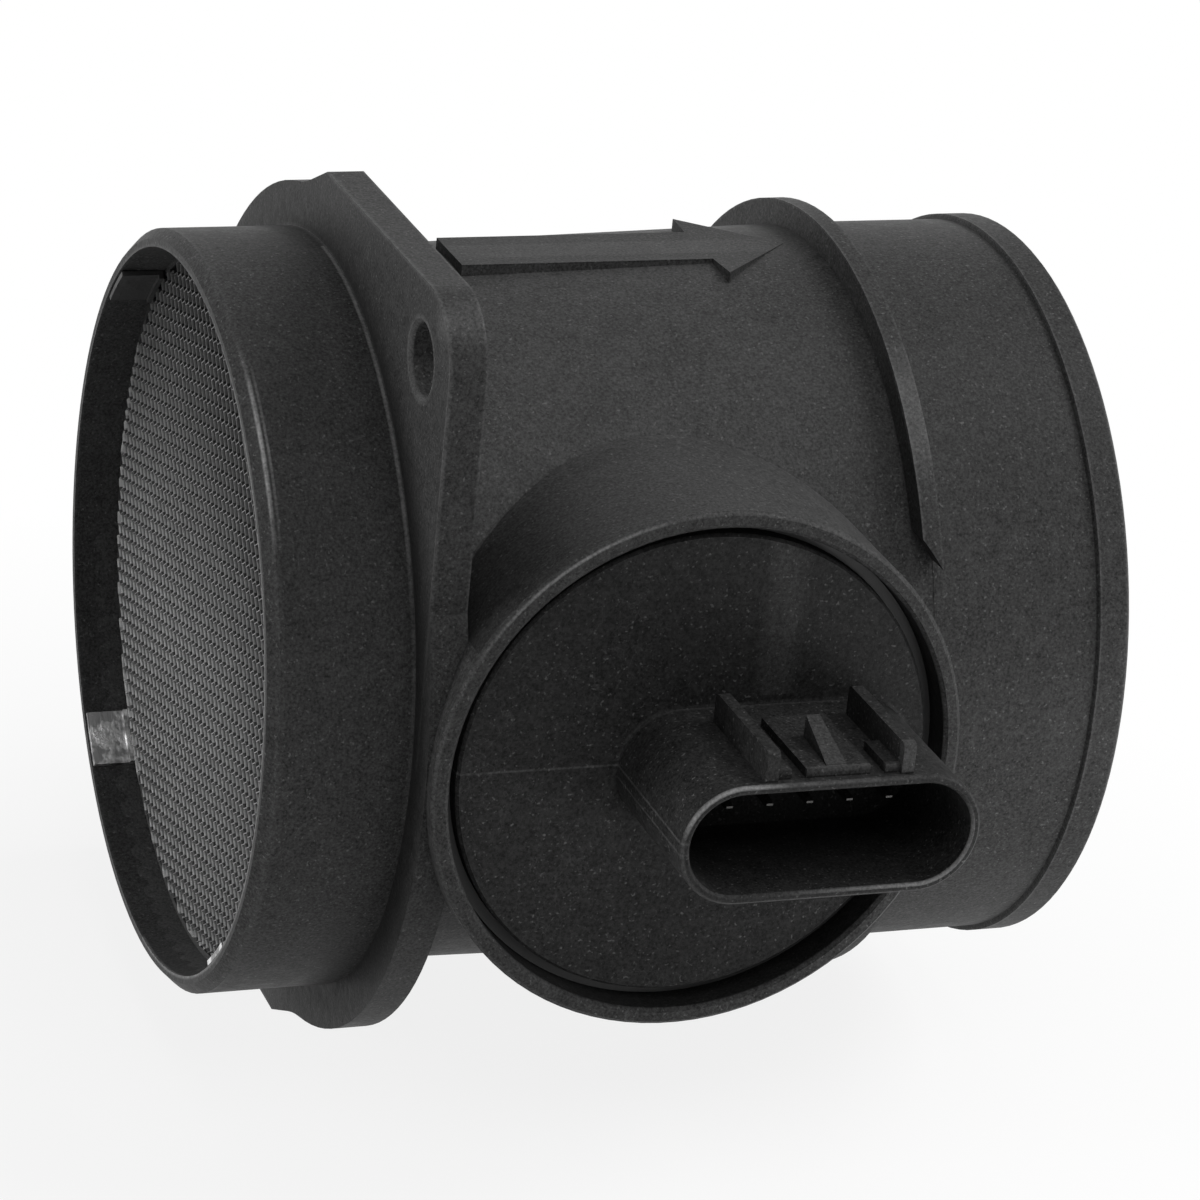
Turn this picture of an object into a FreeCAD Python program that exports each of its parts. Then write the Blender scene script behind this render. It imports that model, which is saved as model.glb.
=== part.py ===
import FreeCAD, Part
import math
import os
import re

import Sketcher

# In-line mass airflow sensor, millimetres.
# +X is the way the air flows, +Z is the side with the flow arrow, the sensor boss stands towards -Y.
# The origin is on the tube's axis, in the flange face that meets the air box.

SIZES = {
    # Inlet collar
    "collar_length": 14.4,
    "collar_r": 38.9,
    "collar_chamfer": 1.05,
    "collar_wall": 1.85,
    "rim_bore_draft": 0.15,
    # Flange
    "flange_thick": 3.75,
    "flange_lip": 4.6,
    "corner_inset": 3.1,
    "corner_rise": 2.8,
    "corner_foot": 14.3,
    "rise_start": 1.0,
    "rise_end": 8.6,
    "rise_round": 20.0,
    "corner_round": 7.4,
    "bolt_clear": 11.1,
    "bolt_angle": 50.5,
    "bolt_hole": 7.0,
    "bolt_chamfer": 0.4,
    # Tube, hose stop ring, hose land and outlet lip
    "core_r": 30.0,
    "tube_r": 36.55,
    "tube_end_r": 38.0,
    "ring_place": 52.3,
    "ring_width": 2.0,
    "ring_r": 40.7,
    "land_r": 38.05,
    "land_end": 72.1,
    "lip_r": 38.6,
    "lip_slope": 0.2,
    "lip_width": 3.5,
    "lip_break": 0.3,
    "tube_wall": 1.95,
    "duct_flare": 1.0,
    # Flow arrow
    "arrow_top": 37.9,
    "arrow_shift": 0.3,
    "arrow_half": 4.2,
    "arrow_tail": 13.2,
    "arrow_neck": 40.15,
    "barb_half": 8.4,
    "barb_set": 0.25,
    "arrow_tip": 49.5,
    # Sensor boss
    "boss_x": 27.4,
    "boss_r": 27.25,
    "boss_root_r": 27.5,
    "boss_root": 20.0,
    "boss_rise": 8.1,
    "boss_break": 0.4,
    "ring_gap": 4.35,
    "recess_r": 25.5,
    "chamber_r": 22.6,
    "glue_inner_r": 23.45,
    "glue_rise": 2.6,
    "floor_rise": 0.45,
    "well_depth": 2.1,
    "well_start": 12.0,
    "well_end": 18.0,
    "well_half": 17.2,
    "well_end_half": 10.7,
    "rail_start": 8.5,
    "rail_width": 1.4,
    "rail_length": 24.0,
    # Flow straightener and its spring clips
    "grid_front": 9.85,
    "grid_thick": 10.0,
    "grid_border": 0.95,
    "grid_fit": 0.15,
    "grid_proud": 0.25,
    "cell_pitch": 6.3,
    "cell_wall": 0.55,
    "cell_turn": 13.0,
    "edge_wall": 0.5,
    "clip_angle": 45.45,
    "clip_width": 9.5,
    "clip_thick": 0.5,
    "clip_length": 4.4,
    "clip_toe": 0.4,
    "clip_gap": 0.05,
    # Connector cover
    "cover_r": 24.25,
    "cover_rise": 6.2,
    "cover_thick": 1.8,
    "cover_break": 0.3,
    "tongue_depth": 1.2,
    "tongue_thick": 0.65,
    "shroud_x": 34.7,
    "shroud_width": 30.6,
    "shroud_height": 12.3,
    "shroud_wall": 0.95,
    "shroud_length": 17.7,
    "socket_depth": 14.9,
    "mouth_break": 0.25,
    "key_shift": 0.3,
    "rib_pitch": 13.8,
    "rib_thick": 1.25,
    "rib_height": 3.1,
    "rib_inset": 0.6,
    "rib_length": 13.9,
    "rib_round": 0.6,
    "step_height": 0.9,
    "step_half": 3.25,
    "step_inset": 1.1,
    "step_length": 11.8,
    "foot_width": 1.5,
    "foot_length": 5.3,
    "ramp_shift": -0.05,
    "ramp_half": 1.05,
    "ramp_back_half": 0.7,
    "ramp_inset": 1.5,
    "ramp_length": 6.8,
    "ramp_height": 3.1,
    # Terminals
    "pin_x": 34.45,
    "pin_pitch": 4.1,
    "pin_thick": 0.64,
    "pin_z": 1.4,
    "pin_inset": 5.5,
    "pin_taper": 0.6,
    "pin_end": 0.1,
    "pin_cover": 0.9,
    "pin_foot_z": 6.6,
    # Bonded seal in the cover groove
    "bead_inner_r": 24.35,
    "bead_fit": 0.1,
    "bead_height": 2.0,
    # Sensing probe
    "chord": 20.0,
    "wing_thick": 7.2,
    "wing_reach": 4.0,
    "nose_round": 3.0,
    "tail_round": 1.2,
    "slot_fit": 0.2,
    "foot_border": 2.3,
    "seat_depth": 1.1,
    "gasket_thick": 0.6,
    "foot_thick": 1.4,
    "channel_width": 5.0,
    "channel_floor": 2.0,
    "channel_turn": 16.0,
    "channel_x": 3.0,
    "channel_low": 1.5,
    "lid_thick": 1.2,
    "lid_root": 20.0,
    "lid_fit": 0.15,
    "window_x": 7.0,
    "window_width": 6.0,
    "window_low": 24.0,
    "window_high": 31.0,
    "lead_r": 0.25,
    "bead_r": 1.1,
    "shoulder_r": 0.88,
    "shoulder_set": 0.77,
    "chip_long": 6.0,
    "chip_wide": 3.2,
    "chip_thick": 0.5,
    # Electronics
    "plate_thick": 0.8,
    "plate_long": 26.0,
    "board_thick": 0.8,
    "board_start": 12.4,
    "board_long": 30.6,
    "board_half": 8.0,
    "board_round": 2.0,
    # How far cuts run past the solid, and how deep added blocks start inside it
    "past": 5.0,
    "sink": 0.5,
}

# Sizes that follow from others
FOLLOWING = {
    "rim_bore_r": "collar_r - collar_wall",
    "grid_r": "rim_bore_r - grid_border",
    "flange_r": "collar_r + flange_lip",
    "corner_side": "flange_r - corner_inset",
    "corner_top": "flange_r + corner_rise",
    "bolt_circle": "2 * (collar_r + bolt_clear)",
    "duct_r": "tube_r - tube_wall",
    "duct_end_r": "duct_r + duct_flare",
    "floor_top": "tube_r + floor_rise",
    "well_floor": "floor_top - well_depth",
    "glue_floor": "floor_top + glue_rise",
    "bead_top": "glue_floor + bead_height",
    "boss_top": "floor_top + boss_rise",
    "cover_face": "floor_top + cover_rise",
    "pin_run": "cover_face - pin_cover",
    "shroud_mouth": "cover_face + shroud_length",
    "socket_floor": "shroud_mouth - socket_depth",
    "rib_front": "shroud_mouth - rib_inset",
    "rib_back": "rib_front - rib_length",
    "step_front": "shroud_mouth - step_inset",
    "step_back": "step_front - step_length",
    "foot_back": "step_front - foot_length",
    "ramp_front": "shroud_mouth - ramp_inset",
    "ramp_back": "ramp_front - ramp_length",
    "pin_tip": "shroud_mouth - pin_inset",
}

doc = FreeCAD.newDocument("mass_airflow_sensor")
sheet = doc.addObject("Spreadsheet::Sheet", "Sizes")
cells = [(word, str(value)) for word, value in SIZES.items()]
cells += [(word, "=" + formula) for word, formula in FOLLOWING.items()]
for row, (word, content) in enumerate(cells, start=1):
    sheet.set("A%d" % row, word)
    sheet.set("B%d" % row, content)
    sheet.setAlias("B%d" % row, word)
    doc.recompute()
NAMES = {word for word, content in cells}


def size(word):
    """The number that the sheet holds under a name."""
    return float(sheet.get(word))


def bound(formula):
    """A formula in the sheet's names, as an expression of the document."""
    def in_sheet(match):
        word = match.group()
        return "Sizes." + word if word in NAMES else word

    return re.sub(r"[a-z]\w*", in_sheet, str(formula))


def body(name, x="0", turn=None):
    """An empty body, placed along the tube's axis and turned about it."""
    made = doc.addObject("PartDesign::Body", name)
    made.Label = name
    made.setExpression("Placement.Base.x", bound(x))
    if turn:
        made.Placement.Rotation = FreeCAD.Rotation(FreeCAD.Vector(1, 0, 0), 1)
        made.setExpression("Placement.Rotation.Angle", "(%s) * 1 deg" % bound(turn))
    return made


def sketch(owner, name, plane, x="0", y="0", out="0"):
    """A sketch on one of the body's own planes, shifted in the plane and out of it."""
    made = owner.newObject("Sketcher::SketchObject", name)
    plane_feature = [f for f in owner.Origin.OriginFeatures if f.Role == plane + "_Plane"]
    made.AttachmentSupport = (plane_feature[0], [""])
    made.MapMode = "FlatFace"
    for axis, formula in zip("xyz", (x, y, out)):
        made.setExpression("AttachmentOffset.Base." + axis, bound(formula))
    return made


def place_point(drawn, geometry, position, x, y):
    """Holds a point of the sketch at two formulas."""
    for kind, axis, formula in (("DistanceX", -2, x), ("DistanceY", -1, y)):
        if str(formula) == "0":
            drawn.addConstraint(Sketcher.Constraint("PointOnObject", geometry, position, axis))
        else:
            number = drawn.addConstraint(Sketcher.Constraint(kind, geometry, position, 1.0))
            drawn.setExpression("Constraints[%d]" % number, bound(formula))


def polygon(drawn, corners):
    """A closed outline through the corners, each given as two formulas."""
    count = len(corners)
    first = drawn.GeometryCount
    spots = [FreeCAD.Vector(10 * math.cos(n * 2 * math.pi / count), 10 * math.sin(n * 2 * math.pi / count), 0)
             for n in range(count)]
    for n in range(count):
        drawn.addGeometry(Part.LineSegment(spots[n], spots[(n + 1) % count]), False)
    for n in range(count):
        drawn.addConstraint(Sketcher.Constraint("Coincident", first + n, 2, first + (n + 1) % count, 1))
    for n, (x, y) in enumerate(corners):
        place_point(drawn, first + n, 1, x, y)
    return drawn


def rectangle(drawn, x_low, x_high, y_low, y_high):
    return polygon(drawn, [(x_low, y_low), (x_high, y_low), (x_high, y_high), (x_low, y_high)])


def circle(drawn, x, y, radius):
    number = drawn.addGeometry(Part.Circle(FreeCAD.Vector(1, 1, 0), FreeCAD.Vector(0, 0, 1), 5), False)
    place_point(drawn, number, 3, x, y)
    held = drawn.addConstraint(Sketcher.Constraint("Radius", number, 5.0))
    drawn.setExpression("Constraints[%d]" % held, bound(radius))
    return drawn


def obround(drawn, half_run, radius):
    """A slot outline centred on the sketch, its round ends half_run either side."""
    run, r = 5.0, 2.0
    up = FreeCAD.Vector(0, 0, 1)
    right = Part.Circle(FreeCAD.Vector(run, 0, 0), up, r)
    left = Part.Circle(FreeCAD.Vector(-run, 0, 0), up, r)
    a = drawn.addGeometry(Part.ArcOfCircle(right, -math.pi / 2, math.pi / 2), False)
    b = drawn.addGeometry(Part.LineSegment(FreeCAD.Vector(run, r, 0), FreeCAD.Vector(-run, r, 0)), False)
    c = drawn.addGeometry(Part.ArcOfCircle(left, math.pi / 2, 3 * math.pi / 2), False)
    d = drawn.addGeometry(Part.LineSegment(FreeCAD.Vector(-run, -r, 0), FreeCAD.Vector(run, -r, 0)), False)
    for one, one_end, two, two_end in ((a, 2, b, 1), (b, 2, c, 1), (c, 2, d, 1), (d, 2, a, 1)):
        drawn.addConstraint(Sketcher.Constraint("Tangent", one, one_end, two, two_end))
    drawn.addConstraint(Sketcher.Constraint("Equal", a, c))
    place_point(drawn, a, 3, half_run, "0")
    drawn.addConstraint(Sketcher.Constraint("Symmetric", a, 3, c, 3, -2))
    held = drawn.addConstraint(Sketcher.Constraint("Radius", a, r))
    drawn.setExpression("Constraints[%d]" % held, bound(radius))
    return drawn


def extrude(owner, kind, name, drawn, length, reverse=False):
    """A pad or a pocket of the sketch."""
    made = owner.newObject("PartDesign::" + kind, name)
    made.Profile = drawn
    made.Reversed = reverse
    made.setExpression("Length", bound(length))
    return finish(owner, made)


def turn_about(owner, kind, name, drawn, axis, angle="360"):
    """A revolution or a groove of the sketch about one of its axes."""
    made = owner.newObject("PartDesign::" + kind, name)
    made.Profile = drawn
    made.ReferenceAxis = (drawn, [axis])
    made.setExpression("Angle", bound(angle))
    return finish(owner, made)


def finish(owner, made):
    """Recomputes the body and sees that a cutting feature has cut."""
    before = made.BaseFeature.Shape.Volume if made.BaseFeature else None
    doc.recompute()
    owner.Tip = made
    if made.TypeId in ("PartDesign::Pocket", "PartDesign::Groove") and not made.Shape.Volume < before - 1e-6:
        raise ValueError(made.Label + " cuts nothing")
    return made


def dress(owner, kind, name, base, radius, wanted):
    """A fillet or a chamfer on the edges of the base that the test picks."""
    edges = ["Edge%d" % (n + 1) for n, edge in enumerate(base.Shape.Edges) if wanted(edge)]
    if not edges:
        raise ValueError(name + " finds no edge")
    made = owner.newObject("PartDesign::" + kind, name)
    made.Base = (base, edges)
    made.setExpression("Radius" if kind == "Fillet" else "Size", bound(radius))
    return finish(owner, made)


def near(a, b, slack=1e-3):
    return abs(a - b) < slack


def runs_along(edge, axis):
    """True for a straight edge that lies along one axis."""
    if not isinstance(edge.Curve, Part.Line):
        return False
    return near(abs(getattr(edge.Curve.Direction, axis)), 1)


def rim(edge, radius, axis, place):
    """True for a full or part circle of that radius at one place along an axis."""
    if not isinstance(edge.Curve, Part.Circle):
        return False
    return near(edge.Curve.Radius, radius) and near(getattr(edge.Curve.Center, axis), place)


# The housing is one moulding of collar, flange, tube, arrow, stop ring, lip and boss.


def stop_ring(owner):
    """The ring on its core, open where the boss passes."""
    drawn = sketch(owner, "ring_profile", "XY")
    polygon(drawn, [("0", "0"), ("ring_place + ring_width", "0"), ("ring_place + ring_width", "ring_r"),
                    ("ring_place", "ring_r"), ("ring_place", "core_r"), ("0", "core_r")])
    turn_about(owner, "Revolution", "stop_ring", drawn, "H_Axis")
    gap = circle(sketch(owner, "ring_gap_circle", "XZ", x="boss_x"), "0", "0", "boss_r + ring_gap")
    extrude(owner, "Pocket", "ring_gap_cut", gap, "ring_r + past", reverse=True)


def flow_arrow(owner):
    """The flat-topped arrow, let into the tube."""
    drawn = sketch(owner, "arrow_outline", "XY", y="arrow_shift")
    polygon(drawn, [("arrow_tail", "-arrow_half"), ("arrow_neck", "-arrow_half"),
                    ("arrow_neck + barb_set", "-barb_half"), ("arrow_tip", "0"),
                    ("arrow_neck + barb_set", "barb_half"), ("arrow_neck", "arrow_half"),
                    ("arrow_tail", "arrow_half")])
    extrude(owner, "Pad", "arrow", drawn, "arrow_top")


def tube(owner):
    """Collar, tapering tube, hose land and lip, turned solid before it is bored."""
    drawn = sketch(owner, "tube_profile", "XY")
    polygon(drawn, [("-collar_length", "0"), ("-collar_length", "collar_r - collar_chamfer"),
                    ("-collar_length + collar_chamfer", "collar_r"), ("0", "collar_r"), ("0", "tube_r"),
                    ("ring_place + ring_width", "tube_end_r"), ("ring_place + ring_width", "land_r"),
                    ("land_end", "land_r"), ("land_end + lip_slope", "lip_r"),
                    ("land_end + lip_width", "lip_r"), ("land_end + lip_width", "0")])
    solid = turn_about(owner, "Revolution", "tube", drawn, "H_Axis")
    end = size("land_end") + size("lip_width")
    dress(owner, "Chamfer", "lip_corner", solid, "lip_break", lambda e: rim(e, size("lip_r"), "x", end))


def flange(owner):
    """A round plate with two opposite bolt corners, the same when turned half a turn."""
    disc = circle(sketch(owner, "flange_disc", "YZ"), "0", "0", "flange_r")
    extrude(owner, "Pad", "flange_plate", disc, "flange_thick")
    rise_top = "sqrt(flange_r ^ 2 - rise_end ^ 2)"
    drawn = sketch(owner, "flange_corners", "YZ")
    polygon(drawn, [("-corner_side", "corner_foot"), ("-corner_side", "corner_top"),
                    ("rise_start", "corner_top"), ("rise_end", rise_top),
                    ("corner_side", "-corner_foot"), ("corner_side", "-corner_top"),
                    ("-rise_start", "-corner_top"), ("-rise_end", "-" + rise_top)])
    plate = extrude(owner, "Pad", "corner_plate", drawn, "flange_thick")

    def corner(edge):
        if not runs_along(edge, "x"):
            return False
        spot = edge.CenterOfMass
        return near(abs(spot.y), size("corner_side")) and near(abs(spot.z), size("corner_top"))

    def rise(edge):
        return runs_along(edge, "x") and near(abs(edge.CenterOfMass.y), size("rise_end"))

    rounded = dress(owner, "Fillet", "corner_rounds", plate, "corner_round", corner)
    dress(owner, "Fillet", "rise_rounds", rounded, "rise_round", rise)


def boss(owner):
    """The round boss for the electronics, drafted towards its rim."""
    drawn = sketch(owner, "boss_profile", "XY", x="boss_x")
    polygon(drawn, [("0", "-boss_root"), ("boss_root_r", "-boss_root"), ("boss_r", "-boss_top"),
                    ("0", "-boss_top")])
    solid = turn_about(owner, "Revolution", "boss", drawn, "V_Axis")
    dress(owner, "Chamfer", "boss_edge", solid, "boss_break",
          lambda e: rim(e, size("boss_r"), "y", -size("boss_top")))


def bore(owner):
    """The inlet, the straightener's seat and the duct, cut in one groove."""
    seat = "grid_thick - grid_front"
    front = "-grid_front + grid_proud"
    end = "land_end + lip_width"
    drawn = sketch(owner, "bore_profile", "XY")
    polygon(drawn, [("-collar_length - past", "0"), ("-collar_length - past", "rim_bore_r"),
                    ("-collar_length", "rim_bore_r"), (front, "rim_bore_r - rim_bore_draft"),
                    (front, "grid_r + grid_fit"), (seat, "grid_r + grid_fit"), (seat, "duct_r"),
                    (end, "duct_end_r"), (end + " + past", "duct_end_r"), (end + " + past", "0")])
    turn_about(owner, "Groove", "bore", drawn, "H_Axis")


def chamber(owner):
    """The recess for the cover, its glue groove, the chamber, the side wells and the rails."""
    ledge = "-cover_face + cover_thick"
    drawn = sketch(owner, "chamber_profile", "XY", x="boss_x")
    polygon(drawn, [("0", "-boss_top - past"), ("recess_r", "-boss_top - past"), ("recess_r", "-glue_floor"),
                    ("glue_inner_r", "-glue_floor"), ("glue_inner_r", ledge), ("chamber_r", ledge),
                    ("chamber_r", "-floor_top"), ("0", "-floor_top")])
    cut = turn_about(owner, "Groove", "chamber", drawn, "V_Axis")
    dress(owner, "Chamfer", "recess_edge", cut, "boss_break",
          lambda e: rim(e, size("recess_r"), "y", -size("boss_top")))
    for side, name in ((1, "upper"), (-1, "lower")):
        well = sketch(owner, name + "_well", "XZ", x="boss_x", out="floor_top")
        near_side, far_side = "%d * well_start" % side, "%d * well_end" % side
        polygon(well, [("-well_half", near_side), ("well_half", near_side), ("well_end_half", far_side),
                       ("-well_end_half", far_side)])
        extrude(owner, "Pocket", name + "_well_cut", well, "floor_top - well_floor")
        rail = sketch(owner, name + "_rail", "XZ", x="boss_x", out="floor_top")
        rectangle(rail, "-rail_length / 2", "rail_length / 2", "%d * rail_start" % side,
                  "%d * (rail_start + rail_width)" % side)
        extrude(owner, "Pad", name + "_rail_pad", rail, "-seat_depth + gasket_thick + foot_thick")


def probe_slot(owner):
    """The way through the floor for the probe, with the seat of its gasket."""
    seat = sketch(owner, "seat_outline", "XZ", x="boss_x", out="floor_top")
    half_x = "chord / 2 + foot_border + slot_fit"
    half_z = "wing_thick / 2 + foot_border + slot_fit"
    rectangle(seat, "-(%s)" % half_x, half_x, "-(%s)" % half_z, half_z)
    extrude(owner, "Pocket", "gasket_seat", seat, "seat_depth")
    slot = sketch(owner, "slot_outline", "XZ", x="boss_x", out="floor_top")
    half_x = "chord / 2 + slot_fit"
    half_z = "wing_thick / 2 + slot_fit"
    rectangle(slot, "-(%s)" % half_x, half_x, "-(%s)" % half_z, half_z)
    extrude(owner, "Pocket", "probe_slot", slot, "floor_top - boss_root")


def bolt_holes(owner):
    """Two plain bolt holes on the bolt circle, with broken edges."""
    drawn = sketch(owner, "bolt_circles", "YZ", out="flange_thick")
    y = "bolt_circle / 2 * cos(bolt_angle)"
    z = "bolt_circle / 2 * sin(bolt_angle)"
    circle(drawn, "-" + y, z, "bolt_hole / 2")
    circle(drawn, y, "-" + z, "bolt_hole / 2")
    cut = extrude(owner, "Pocket", "bolt_holes", drawn, "flange_thick")
    dress(owner, "Chamfer", "bolt_edges", cut, "bolt_chamfer",
          lambda e: isinstance(e.Curve, Part.Circle) and near(e.Curve.Radius, size("bolt_hole") / 2))


def housing():
    made = body("housing")
    for step in (stop_ring, flow_arrow, tube, flange, boss, bore, chamber, probe_slot, bolt_holes):
        step(made)
    return made


# The straightener is a disc of hexagonal cells, kept whole inside the edge.


def cell_centres(pitch, reach, turn):
    """Centres of the cells of a hexagonal lattice within a reach of the axis."""
    rows = int(reach / pitch) + 2
    cosine, sine = math.cos(math.radians(turn)), math.sin(math.radians(turn))
    centres = []
    for i in range(-2 * rows, 2 * rows + 1):
        for j in range(-2 * rows, 2 * rows + 1):
            x = pitch * (i + j / 2)
            y = pitch * j * math.sqrt(3) / 2
            if math.hypot(x, y) <= reach:
                centres.append((x * cosine - y * sine, x * sine + y * cosine))
    return centres


def flow_straightener():
    radius = size("grid_r")
    pitch = size("cell_pitch")
    thick = size("grid_thick")
    corner = (pitch - size("cell_wall")) / math.sqrt(3)
    disc = Part.makeCylinder(radius, thick, FreeCAD.Vector(0, 0, 0), FreeCAD.Vector(1, 0, 0))
    cells = []
    for y, z in cell_centres(pitch, radius - size("edge_wall") - corner, -size("cell_turn")):
        ring = []
        for n in range(7):
            angle = math.radians(30 + 60 * n - size("cell_turn"))
            ring.append(FreeCAD.Vector(0, y + corner * math.cos(angle), z + corner * math.sin(angle)))
        cells.append(Part.Face(Part.makePolygon(ring)).extrude(FreeCAD.Vector(thick, 0, 0)))
    made = doc.addObject("Part::Feature", "flow_straightener")
    made.Label = "flow_straightener"
    made.Shape = disc.cut(Part.makeCompound(cells))
    made.Placement = FreeCAD.Placement(FreeCAD.Vector(-size("grid_front"), 0, 0), FreeCAD.Rotation())
    return made


def straightener_clip(number, angle):
    """A bent strip: a leaf along the collar's wall and a toe on the straightener's face."""
    made = body("straightener_clip_%d" % number, x="-grid_front", turn="%s - clip_width / 2" % angle)
    outer = "rim_bore_r - rim_bore_draft - clip_gap"
    inner = outer + " - clip_thick"
    drawn = sketch(made, "clip_profile_%d" % number, "XY")
    polygon(drawn, [("0", inner + " - clip_toe"), ("0", outer), ("-clip_length", outer),
                    ("-clip_length", inner), ("-clip_thick", inner), ("-clip_thick", inner + " - clip_toe")])
    turn_about(made, "Revolution", "clip_%d" % number, drawn, "H_Axis", angle="clip_width")
    return made


# The cover and the connector shroud are one moulding, cast round the terminals.


def cover_disc(owner):
    drawn = sketch(owner, "disc_profile", "XY", x="boss_x")
    under = "-cover_face + cover_thick"
    inside = "cover_r - tongue_thick"
    polygon(drawn, [("0", "-cover_face"), ("cover_r", "-cover_face"), ("cover_r", under + " + tongue_depth"),
                    (inside, under + " + tongue_depth"), (inside, under), ("0", under)])
    disc = turn_about(owner, "Revolution", "disc", drawn, "V_Axis")
    dress(owner, "Chamfer", "disc_edge", disc, "cover_break",
          lambda e: rim(e, size("cover_r"), "y", -size("cover_face")))


def shroud(owner):
    outer = sketch(owner, "shroud_outline", "XZ", x="shroud_x", out="cover_face - sink")
    obround(outer, "(shroud_width - shroud_height) / 2", "shroud_height / 2")
    extrude(owner, "Pad", "shroud", outer, "shroud_mouth - cover_face + sink")


def key_block(owner, name, low, high, back, front, height):
    """A low block on the shroud's flat top, given by its sides, ends and height."""
    drawn = sketch(owner, name + "_outline", "XY", x="shroud_x + key_shift", out="shroud_height / 2 - sink")
    rectangle(drawn, low, high, "-(%s)" % front, "-(%s)" % back)
    return extrude(owner, "Pad", name, drawn, "sink + " + height)


def shroud_keys(owner):
    """The middle step, and on each side a guide rib with a foot at its inner side."""
    key_block(owner, "middle_step", "-step_half", "step_half", "step_back", "step_front", "step_height")
    inner, outer = "(rib_pitch - rib_thick) / 2", "(rib_pitch + rib_thick) / 2"
    top = size("shroud_height") / 2 + size("rib_height")

    def end_edge(edge):
        return runs_along(edge, "x") and near(edge.CenterOfMass.z, top) and near(edge.Length, size("rib_thick"))

    for side, name in ((-1, "left"), (1, "right")):
        key_block(owner, name + "_foot", "%d * (%s - foot_width)" % (side, inner), "%d * %s" % (side, inner),
                  "foot_back", "step_front", "step_height")
        fin = key_block(owner, name + "_rib", "%d * %s" % (side, inner), "%d * %s" % (side, outer),
                        "rib_back", "rib_front", "rib_height")
        dress(owner, "Fillet", name + "_rib_ends", fin, "rib_round", end_edge)


def latch_ramp(owner):
    """The latch ramp on the middle step, narrower and higher at its back."""
    middle = "shroud_x + key_shift + ramp_shift"
    drawn = sketch(owner, "ramp_outline", "XY", x=middle, out="shroud_height / 2")
    polygon(drawn, [("-ramp_half", "-ramp_front"), ("ramp_half", "-ramp_front"),
                    ("ramp_back_half", "-ramp_back"), ("-ramp_back_half", "-ramp_back")])
    extrude(owner, "Pad", "latch_ramp", drawn, "ramp_height")
    slope = sketch(owner, "ramp_slope", "YZ", y="shroud_height / 2", out=middle + " + 2 * ramp_half")
    polygon(slope, [("-ramp_front", "step_height"), ("-ramp_back", "ramp_height"),
                    ("-ramp_front", "ramp_height")])
    extrude(owner, "Pocket", "ramp_slope_cut", slope, "4 * ramp_half")


def socket(owner):
    inner = sketch(owner, "socket_outline", "XZ", x="shroud_x", out="shroud_mouth")
    obround(inner, "(shroud_width - shroud_height) / 2", "shroud_height / 2 - shroud_wall")
    cut = extrude(owner, "Pocket", "socket", inner, "shroud_mouth - socket_floor")
    mouth = -size("shroud_mouth")
    dress(owner, "Chamfer", "mouth_edges", cut, "mouth_break",
          lambda e: near(e.BoundBox.YMin, mouth) and near(e.BoundBox.YMax, mouth))


def terminal_outline(drawn):
    """The contact pin, its run through the disc and its foot on the board, all of one thickness."""
    low, high = "pin_z - pin_thick / 2", "pin_z + pin_thick / 2"
    run_in, run_out = "-pin_run + pin_thick / 2", "-pin_run - pin_thick / 2"
    foot_low, foot_high = "pin_foot_z - pin_thick / 2", "pin_foot_z + pin_thick / 2"
    board = "-(floor_top - seat_depth + gasket_thick + foot_thick + plate_thick + board_thick)"
    return polygon(drawn, [(run_in, low), (run_in, foot_low), (board, foot_low), (board, foot_high),
                           (run_out, foot_high), (run_out, high), ("-pin_tip + pin_taper", high),
                           ("-pin_tip", "pin_z + pin_end"), ("-pin_tip", "pin_z - pin_end"),
                           ("-pin_tip + pin_taper", low)])


def terminal_place(number):
    """Where the side of a terminal stands along the row."""
    return "pin_x - pin_thick / 2 + %d * pin_pitch" % (number - 3)


def connector_cover():
    made = body("connector_cover")
    for step in (cover_disc, shroud, shroud_keys, latch_ramp, socket):
        step(made)
    for number in range(1, 6):
        drawn = sketch(made, "channel_outline_%d" % number, "YZ", out=terminal_place(number))
        channel = terminal_outline(drawn)
        extrude(made, "Pocket", "terminal_channel_%d" % number, channel, "pin_thick", reverse=True)
    return made


def terminal(number):
    made = body("terminal_%d" % number, x=terminal_place(number))
    drawn = terminal_outline(sketch(made, "terminal_outline_%d" % number, "YZ"))
    extrude(made, "Pad", "terminal_strip_%d" % number, drawn, "pin_thick")
    return made


def cover_seal():
    """The bead that fills the groove outside the cover's tongue."""
    made = body("cover_seal")
    drawn = sketch(made, "bead_profile", "XY", x="boss_x")
    rectangle(drawn, "bead_inner_r", "recess_r - bead_fit", "-bead_top", "-glue_floor")
    turn_about(made, "Revolution", "bead", drawn, "V_Axis")
    return made


# The probe reaches from the boss floor past the middle of the duct.


def wing(owner):
    """The blade of the probe: round nose to the flow, slimmer tail."""
    drawn = sketch(owner, "wing_section_" + owner.Label, "XZ", x="boss_x", out="-wing_reach")
    rectangle(drawn, "-chord / 2", "chord / 2", "-wing_thick / 2", "wing_thick / 2")
    length = "floor_top - seat_depth + gasket_thick + wing_reach"
    blade = extrude(owner, "Pad", "blade_" + owner.Label, drawn, length)
    nose = size("boss_x") - size("chord") / 2
    tail = size("boss_x") + size("chord") / 2
    rounded = dress(owner, "Fillet", "nose_" + owner.Label, blade, "nose_round",
                    lambda e: runs_along(e, "y") and near(e.CenterOfMass.x, nose))
    return dress(owner, "Fillet", "tail_" + owner.Label, rounded, "tail_round",
                 lambda e: runs_along(e, "y") and near(e.CenterOfMass.x, tail))


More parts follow.
